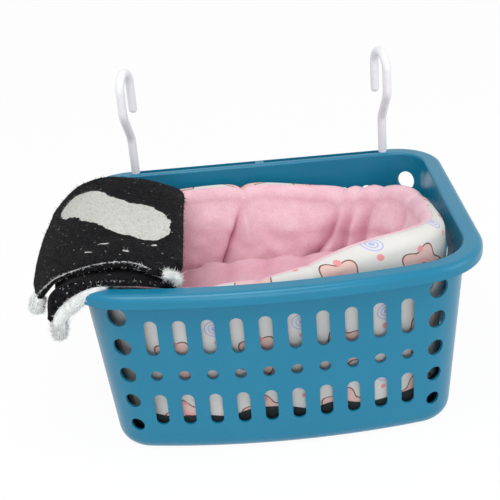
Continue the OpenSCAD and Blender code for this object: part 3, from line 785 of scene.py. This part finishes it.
# Shares of the strip past the fold over which the front edge steps back and the wrinkles set in
FRONT_STEP, WRINKLES_IN = 0.14, 0.1
# The back corner covers the basket's rounded corner, growing between these distances to the left
BACK_CORNER, BACK_CORNER_FROM, BACK_CORNER_TO = 16 * MM, 95 * MM, 140 * MM
# Distances to the front between which the cloth passes over to the route at the front corner
AT_CORNER_FROM, AT_CORNER_TO = 72 * MM, 96 * MM
# The front corner of the upper end is drawn in, past this share of the strip and between these distances
FRONT_CORNER_IN, DRAWN_SHARE, DRAWN_FROM, DRAWN_TO = 0.045, 0.8, 40 * MM, 86 * MM
# The lower end is plump at the front corner, more on its outer side, up to these shares, less at its tip
CORNER_PLUMP, OUTER_PLUMP, PLUMP_FULL, PLUMP_GONE, PLUMP_TIP = 4.5 * MM, 1.5, 0.08, 0.25, 0.3
# The fold runs slightly askew, and its back corner droops
SKEW, SKEW_FROM, SKEW_TO = 0.5 * MM, -100 * MM, -75 * MM
DROOP, DROOP_X, DROOP_SPREAD, DROOP_FROM = 6.5 * MM, -62 * MM, 18 * MM, 25 * MM
# The hanging ends wave outwards below this height, in full at the lower one
FLARE, FLARE_Z, FLARE_FULL_Z, FLARE_TURNS, FLARE_START = 1.5 * MM, 141 * MM, 120 * MM, 3.6, 1
WRINKLE = 0.7 * MM


def middle_line(share_row, k, route=strip):
    """One field of a route at a share of its length: x, z, or the heading's x or z."""
    return np.interp(share_row, strip_share, route[:, k])


def cloth_half(share_row):
    """Half the cloth's thickness: full, but pressed thin over the rim."""
    pressed = np.exp(-((middle_line(share_row, 0) - PRESSED_X) / PRESSED_SPREAD) ** 2)
    return (BLANKET_T - (BLANKET_T - PRESSED_T) * pressed) / 2


def edge_round(across):
    """How much of the half thickness is left at that place across: (1 - |across|^n)^(1/2)."""
    return np.sqrt(np.maximum(0, 1 - np.abs(across) ** EDGE_POWER))


def blanket_wrinkle(x, y):
    """Two crossing sine waves, whose lengths are in mm."""
    return WRINKLE * np.sin(y / (13 * MM) + x / (19 * MM)) * np.sin(x / (15 * MM) - y / (31 * MM))


def blanket_place(share_row, across, offset):
    """Place of a point of the cloth: along the strip, across from front to back, and off its middle.
    The route at the front corner is blended in, then plumpness, skew, droop, flare and wrinkles follow."""
    front = FRONT_LOWER + (FRONT_UPPER - FRONT_LOWER) * ease(share_row, FOLD_SHARE, FOLD_SHARE + FRONT_STEP)
    back = BACK_EDGE + BACK_CORNER * ease(-middle_line(share_row, 0), BACK_CORNER_FROM, BACK_CORNER_TO)
    y = front + (back - front) * (across + 1) / 2
    at_corner = ease(-y, AT_CORNER_FROM, AT_CORNER_TO)
    row = share_row - FRONT_CORNER_IN * ease(share_row, DRAWN_SHARE, 1) * ease(-y, DRAWN_FROM, DRAWN_TO)
    x, z, ahead_x, ahead_z = ((1 - at_corner) * middle_line(row, k)
                              + at_corner * middle_line(row, k, corner_strip) for k in range(4))
    plump = CORNER_PLUMP * at_corner * ease(-row, -PLUMP_GONE, -PLUMP_FULL)
    plump = plump * (PLUMP_TIP + (1 - PLUMP_TIP) * ease(row, 0, PLUMP_FULL))
    offset = offset * (1 + plump * np.where(offset < 0, OUTER_PLUMP, 1) / cloth_half(share_row))
    skew = SKEW * ease(x, SKEW_FROM, SKEW_TO) * (BACK_EDGE - y) / BLANKET_L
    droop = DROOP * np.exp(-((x - DROOP_X) / DROOP_SPREAD) ** 2) * ease(y, DROOP_FROM, BACK_EDGE)
    flare = FLARE * ease(-z, -FLARE_Z, -FLARE_FULL_Z) * np.sin(FLARE_TURNS * across + FLARE_START)
    wrinkle = blanket_wrinkle(x, y) * ease(share_row, FOLD_SHARE, FOLD_SHARE + WRINKLES_IN)
    x, z = x + offset * ahead_z + skew - flare, z - offset * ahead_x - droop + wrinkle
    return np.stack([x, y, z], axis=-1)


def blanket_points():
    """The slab's section: out along one side and back along the other, with round edges and ends."""
    ends = len(END_ROUND)
    rows = np.concatenate([np.zeros(ends), strip_share, np.ones(ends)])[:, None]
    plump = np.concatenate([END_ROUND, np.ones(BLANKET_ROWS), END_ROUND[::-1]])[:, None]
    across = np.sin(np.linspace(-1, 1, BLANKET_COLUMNS) * math.pi / 2)
    edge = edge_round(across)
    loop = np.concatenate([across, across[-2:0:-1]])[None]
    side = np.concatenate([edge, -edge[-2:0:-1]])[None]
    rows, loop = np.broadcast_arrays(rows, loop)
    return blanket_place(rows, loop, side * plump * cloth_half(rows))


# %% Blanket finish
# Middle, half length and half width in mm, and turn in degrees, of the blots that make the white patch
PATCH_BLOTS = ((-139, 32, 29, 18, -57), (-119, 4, 34, 20, -57), (-98, -15, 32, 25, -62),
               (-88, -23, 28, 17, -80))
# The same for the flecks in front of it
PATCH_FLECKS = ((-117, -56, 4, 1, 0), (-127, -63, 3, 1, -30), (-100, -70, 3, 1, -30), (-82, -58, 3, 1, 0))
# Below this height the hanging ends stay black
PATCH_LOW, PATCH_EDGE, BLOT_BLEND = 131 * MM, 0.95, 0.3
RAGGED_MM, RAGGED = 5, 6 * MM
# The pile's tufts and the pale specks in it, drawn coarser than the yarn so that they show
BLANKET_PILE_MM, SPECK_MM, SPECK_LEVEL = 2.4, 3.2, 0.71


def blot(tree, place, x, y, length, width, turn):
    """Distance from the middle of an ellipse seen from above, 1 on its edge."""
    local = add(tree, "Mapping", {"Vector": place, "Location": (x * MM, y * MM, 0),
                                  "Rotation": (0, 0, math.radians(turn)),
                                  "Scale": (length * MM, width * MM, 1)}, vector_type="TEXTURE").outputs[0]
    level = add(tree, "VectorMath", {0: local, 1: (1, 1, 0)}, operation="MULTIPLY").outputs[0]
    return length_of(tree, level)


def patch_share(tree, place):
    """1 in the white patch and its flecks: inside any of the blots, whose edges wander by some noise."""
    noise = add(tree, "TexNoise", {"Vector": place, "Scale": per_metre(RAGGED_MM), "Detail": 4.0})
    centred = add(tree, "VectorMath", {0: noise.outputs["Color"], 1: (0.5, 0.5, 0.5)}, operation="SUBTRACT")
    wander = add(tree, "VectorMath", {0: centred.outputs[0], "Scale": RAGGED}, operation="SCALE")
    moved = add(tree, "VectorMath", {0: place, 1: wander.outputs[0]}, operation="ADD").outputs[0]
    nearest = blot(tree, moved, *PATCH_BLOTS[0])
    for place_and_size in PATCH_BLOTS[1:]:
        nearest = calc(tree, "SMOOTH_MIN", nearest, blot(tree, moved, *place_and_size), BLOT_BLEND)
    for place_and_size in PATCH_FLECKS:
        nearest = calc(tree, "MINIMUM", nearest, blot(tree, moved, *place_and_size))
    height = add(tree, "SeparateXYZ", {0: place}).outputs["Z"]
    upper = calc(tree, "GREATER_THAN", height, PATCH_LOW)
    return calc(tree, "MULTIPLY", calc(tree, "LESS_THAN", nearest, PATCH_EDGE), upper)


def patched_plush(name):
    """Black knitted polyester plush with a ragged white patch of the same pile, and pale specks."""
    material, tree = finish_named(name)
    place = add(tree, "TexCoord").outputs["Object"]
    pile = add(tree, "TexNoise", {"Vector": place, "Scale": per_metre(BLANKET_PILE_MM), "Detail": 4.0,
                                  "Roughness": 0.7})
    specks = add(tree, "TexNoise", {"Vector": place, "Scale": per_metre(SPECK_MM), "Detail": 2.0})
    speck = calc(tree, "GREATER_THAN", specks.outputs["Fac"], SPECK_LEVEL)
    shade = add(tree, "MapRange", {"Value": pile.outputs["Fac"], "From Min": 0.35, "From Max": 0.7})
    black = blend_colour(tree, shade.outputs["Result"], linear("#040405"), linear("#212124"))
    black = blend_colour(tree, speck, black, linear("#868686"))
    pale = blend_colour(tree, shade.outputs["Result"], linear("#c6c7c1"), linear("#d9dad4"))
    colour = blend_colour(tree, patch_share(tree, place), black, pale)
    bump = add(tree, "Bump", {"Height": pile.outputs["Fac"], "Strength": 0.8, "Distance": 1.2 * MM})
    close_finish(tree, colour, bump.outputs["Normal"], roughness=1.0, sheen_weight=0.04,
                 specular_ior_level=0.05)
    return material


blanket = grid_piece("folded_blanket", blanket_points(), closed=True)
close_up(blanket)
blanket_plush = patched_plush("black_white_plush")
wear(blanket, blanket_plush, "blanket", "blanket")

# %% [markdown]
# ## White fleece and pile
# The blanket's reverse is white fleece. It rolls out under the front of the lower layer, as a tuft at the
# upper end and round the front of the fold. Each roll is a lumpy tube carried along the cloth's own edge.
# The hems are overcast with white yarn, and the cloth has a short pile of its own. Hair particles would
# have to be turned into a mesh later, so yarn and pile are short tapered fibres, all worked out at once.

# %% Fleece rolls
FRONT_HEM = -0.975
ROLL_ROWS, ROLL_COLUMNS = 44, 18
# Share of the strip where the lower roll starts, how far it lies off the cloth's middle, and its free end
LOWER_FROM, LOWER_OFF, LOWER_END = 0.24, (2.5 * MM, 3 * MM), MM * np.array([-1, 0, -14])
# Start of the tuft off the corner of the upper end, and its run from there
TUFT_OFF, TUFT_RUN = MM * np.array([2, 2, 3]), MM * np.array([-5, -1, -13])
# Shares of the strip before and past the fold between which the third roll lies
FOLD_ROLL = (-0.07, 0.012)
ROLL_RADII = (4.6 * MM, 4.8 * MM, 2.9 * MM)
# Lumps as a share of the radius, their size, the first seed, and a direction that no roll runs along
LUMP, LUMP_MM, LUMP_SEED, ROLL_ACROSS = 0.13, 40, 30, (0.2, 1, 0.1)
ROLL_POWER = 5


def fleece_paths():
    """Middle line of each roll: along the cloth's front edge and past its end, the tuft, round the fold."""
    steps = np.linspace(0, 1, ROLL_ROWS)[:, None]
    hem = np.full(ROLL_ROWS, FRONT_HEM)
    lower = blanket_place(np.linspace(LOWER_FROM, 0, ROLL_ROWS), hem, np.linspace(*LOWER_OFF, ROLL_ROWS))
    lower = np.concatenate([lower, lower[-1] + LOWER_END * steps[1:]])
    tuft = blanket_place(np.ones(1), hem[:1], np.zeros(1)) + TUFT_OFF + TUFT_RUN * steps
    fold = blanket_place(FOLD_SHARE + np.linspace(*FOLD_ROLL, ROLL_ROWS), hem, np.zeros(ROLL_ROWS))
    return lower, tuft, fold


def roll_points(path, radius, seed):
    """A tube round the path: circles of radius r (1 - |2s - 1|^n)^(1/2), with soft lumps."""
    share = np.linspace(0, 1, len(path))[:, None]
    ahead = np.gradient(path, axis=0)
    side = unit(np.cross(ahead, ROLL_ACROSS))
    other = unit(np.cross(ahead, side))
    turn = np.arange(ROLL_COLUMNS) * 360 / ROLL_COLUMNS
    size = radius * np.sqrt(np.maximum(0, 1 - np.abs(2 * share - 1) ** ROLL_POWER))
    size = size * (1 + LUMP * waves(seed, turn, share, LUMP_MM))
    cos, sin = np.cos(np.radians(turn))[:, None], np.sin(np.radians(turn))[:, None]
    ring = side[:, None] * cos + other[:, None] * sin
    return path[:, None] + ring * size[..., None], ring


rolls = [roll_points(path, radius, LUMP_SEED + k)
         for k, (path, radius) in enumerate(zip(fleece_paths(), ROLL_RADII))]
# The third colour is painted crease shade, which no fleece piece carries an attribute for
fleece = plush("white_fleece", "#f0f2f1", "#e2e6e4", "#d3d8d6", 1.6, 0.2)
for name, (points, _) in zip(("blanket_fleece_lower", "blanket_fleece_tuft", "blanket_fleece_fold"), rolls):
    roll = grid_piece(name, points, closed=True)
    close_up(roll)
    wear(roll, fleece, "blanket")

# %% Fibres
FIBRE_CURL, FIBRE_TAPER = 0.55, 0.85
FIBRE_STEPS = np.linspace(0, 1, 4)
FIBRE_SIDES = np.radians([90, 210, 330])


def fibre_piece(name, root, direction, length, thickness, seed):
    """Tapered fibres of three sides: each leaves its root along its direction, with a random curl."""
    draw = np.random.default_rng(seed)
    curl = draw.normal(0, FIBRE_CURL, root.shape) * length[:, None]
    middle = (root[:, None] + direction[:, None] * length[:, None, None] * FIBRE_STEPS[:, None]
              + curl[:, None] * (FIBRE_STEPS ** 2)[:, None])
    side = unit(np.cross(direction, draw.normal(0, 1, root.shape)))
    other = np.cross(direction, side)
    ring = side[:, None] * np.cos(FIBRE_SIDES)[:, None] + other[:, None] * np.sin(FIBRE_SIDES)[:, None]
    radius = thickness / 2 * (1 - FIBRE_TAPER * FIBRE_STEPS)
    points = middle[:, :, None] + ring[:, None] * radius[:, None, None]
    count, rows, sides = points.shape[:3]
    first = np.arange(count)[:, None, None] * rows * sides
    i, j = grid_corners(rows, sides, closed=True)
    walls = (first + i * sides + j % sides).reshape(-1, 4)
    cap = np.arange(sides)
    caps = (first + np.stack([cap[::-1], (rows - 1) * sides + cap])).reshape(-1, sides)
    mesh = bpy.data.meshes.new(name)
    mesh.from_pydata(points.reshape(-1, 3).tolist(), [], walls.tolist() + caps.tolist())
    mesh.shade_smooth()
    return put_in_scene(name, mesh)


# %% Pile and yarn
rng = np.random.default_rng(11)
PILE_COUNT, PILE_T, PILE_SEED, PILE_LENGTHS, PILE_LEAN = 7000, 0.4 * MM, 22, (0.7, 1.9), 0.6
# The pile starts this share of the strip before the fold, and its roots lie a little under the skin
PILE_BEFORE_FOLD, PILE_TO, PILE_ACROSS, PILE_ROOT, PILE_OUT = 0.03, 0.999, 0.985, 0.9, 1.4
YARN_T, YARN_SEED, YARN_LEAN, SHORTEST = 0.45 * MM, 21, 0.35, 0.3
BEFORE_FOLD, AFTER_FOLD = FOLD_SHARE - 0.05, FOLD_SHARE + 0.05
# Count, shares of the strip, shares of the half thickness and longest fibre: two hems, then loose yarn
YARN_SETS = ((420, (AFTER_FOLD, 0.99), (0.85, 1.05), 1.7 * MM),
             (330, (0.15, BEFORE_FOLD), (0.85, 1.05), 1.7 * MM),
             (900, (0.1, 0.95), (-1, 1), 1.6 * MM))
ROLL_FIBRES, ROLL_FIBRE_L = (2600, 700, 900), 2.2 * MM
HEM_STEP = 0.02


def pile_roots(draw, count):
    """Roots, directions and lengths of the cloth's pile, over the top from the fold to the upper end."""
    share = draw.uniform(FOLD_SHARE - PILE_BEFORE_FOLD, PILE_TO, count)
    across = draw.uniform(-PILE_ACROSS, PILE_ACROSS, count)
    skin = cloth_half(share) * edge_round(across)
    root = blanket_place(share, across, PILE_ROOT * skin)
    way = unit(blanket_place(share, across, PILE_OUT * skin) - root) + draw.normal(0, PILE_LEAN, root.shape)
    return root, unit(way), draw.uniform(*PILE_LENGTHS, count) * MM


def edge_roots(draw, count, shares, sides):
    """Random roots on the cloth's front edge, between two shares of the strip and two of its thickness,
    with the way that the edge faces."""
    share = draw.uniform(*shares, count)
    offset = draw.uniform(*sides, count) * cloth_half(share) * edge_round(FRONT_HEM)
    here = blanket_place(share, np.full(count, FRONT_HEM), offset)
    inside = blanket_place(share, np.full(count, FRONT_HEM + HEM_STEP), offset)
    return here, unit(here - inside)


def hem_fuzz(draw):
    """Roots, directions and lengths of the white fibres, set by set: hems, loose yarn, the rolls' pile."""
    sets = []
    for count, shares, sides, longest in YARN_SETS:
        root, way = edge_roots(draw, count, shares, sides)
        sets.append((root, way, draw.uniform(SHORTEST, 1.0, count) * longest))
    for (points, ring), count in zip(rolls, ROLL_FIBRES):
        pick = draw.integers(0, points.shape[0], count), draw.integers(0, points.shape[1], count)
        sets.append((points[pick], ring[pick], draw.uniform(SHORTEST, 1.0, count) * ROLL_FIBRE_L))
    root, way, length = (np.concatenate([s[k] for s in sets]) for k in range(3))
    return root, unit(way + draw.normal(0, YARN_LEAN, way.shape)), length


pile = fibre_piece("blanket_short_pile", *pile_roots(rng, PILE_COUNT), thickness=PILE_T, seed=PILE_SEED)
wear(pile, blanket_plush, "blanket")
fuzz = fibre_piece("blanket_white_fuzz", *hem_fuzz(rng), thickness=YARN_T, seed=YARN_SEED)
wear(fuzz, fleece, "blanket")

# %% [markdown]
# ## Stage and light
# The object stands on a plain white floor under a large soft lamp, with weaker light from the right and
# from low in front. A plain floor would turn grey away from the lamps, so floor and world are white to
# the camera and to reflections. As a light the world is softer, and the floor only passes light on.

# %% Floor and world
FLOOR_SIDE, FLOOR_GLOW = 6.0, 0.95
WORLD_LIGHT = 0.5
WHITE = (1, 1, 1, 1)


def seen_rays(tree):
    """1 for rays that show the background: from the camera, off gloss or through a clear piece."""
    rays = add(tree, "LightPath").outputs
    bounced = calc(tree, "MAXIMUM", rays["Is Glossy Ray"], rays["Is Transmission Ray"])
    return calc(tree, "MAXIMUM", rays["Is Camera Ray"], bounced)


def pale_floor():
    """A matt white floor that glows for the rays that show it."""
    material, tree = finish_named("pale_floor")
    lit = add(tree, "BsdfDiffuse", {"Color": linear("#fbfbfb")}).outputs["BSDF"]
    glow = add(tree, "Emission", {"Color": WHITE, "Strength": 1.0}).outputs["Emission"]
    white_share = calc(tree, "MULTIPLY", seen_rays(tree), FLOOR_GLOW)
    shader = add(tree, "MixShader", {0: white_share, 1: lit, 2: glow})
    add(tree, "OutputMaterial", {"Surface": shader.outputs["Shader"]})
    material.cycles.emission_sampling = "NONE"
    return material


edge_x, edge_y = np.meshgrid([-FLOOR_SIDE / 2, FLOOR_SIDE / 2], [-FLOOR_SIDE / 2, FLOOR_SIDE / 2])
floor = grid_piece("floor", np.stack([edge_x, edge_y, 0 * edge_x], axis=-1))
floor.data.materials.append(pale_floor())

world = bpy.data.worlds.new("studio")
world.use_nodes = True
world.node_tree.nodes.clear()
bpy.context.scene.world = world
strength = add(world.node_tree, "MapRange", {"Value": seen_rays(world.node_tree), "To Min": WORLD_LIGHT})
sky = add(world.node_tree, "Background", {"Color": WHITE, "Strength": strength.outputs["Result"]})
add(world.node_tree, "OutputWorld", {"Surface": sky.outputs["Background"]})

# %% Lamps
NEST_AIM = (0, 0, 0.1)
# Name, place in metres, side in metres and power in watts
LAMPS = (("key", (-0.25, -0.45, 1.2), 0.8, 8.5), ("side", (1.1, -0.4, 0.6), 0.8, 4),
         ("low_front", (0.0, -1.3, 0.25), 0.7, 4))


def soft_lamp(name, place, aim, side, watts):
    """A square area lamp that faces its aim."""
    lamp = bpy.data.lights.new(name, "AREA")
    lamp.size, lamp.energy = side, watts
    holder = put_in_scene(name, lamp)
    holder.location = place
    way = np.array(aim) - np.array(place)
    flat_run = math.hypot(way[0], way[1])
    holder.rotation_euler = (math.atan2(flat_run, -way[2]), 0, math.atan2(-way[0], way[1]))


for name, place, side, watts in LAMPS:
    soft_lamp(name, place, NEST_AIM, side, watts)
    print("lamp", name, "gives", watts, "W")
bpy.context.scene.view_settings.view_transform = "Standard"
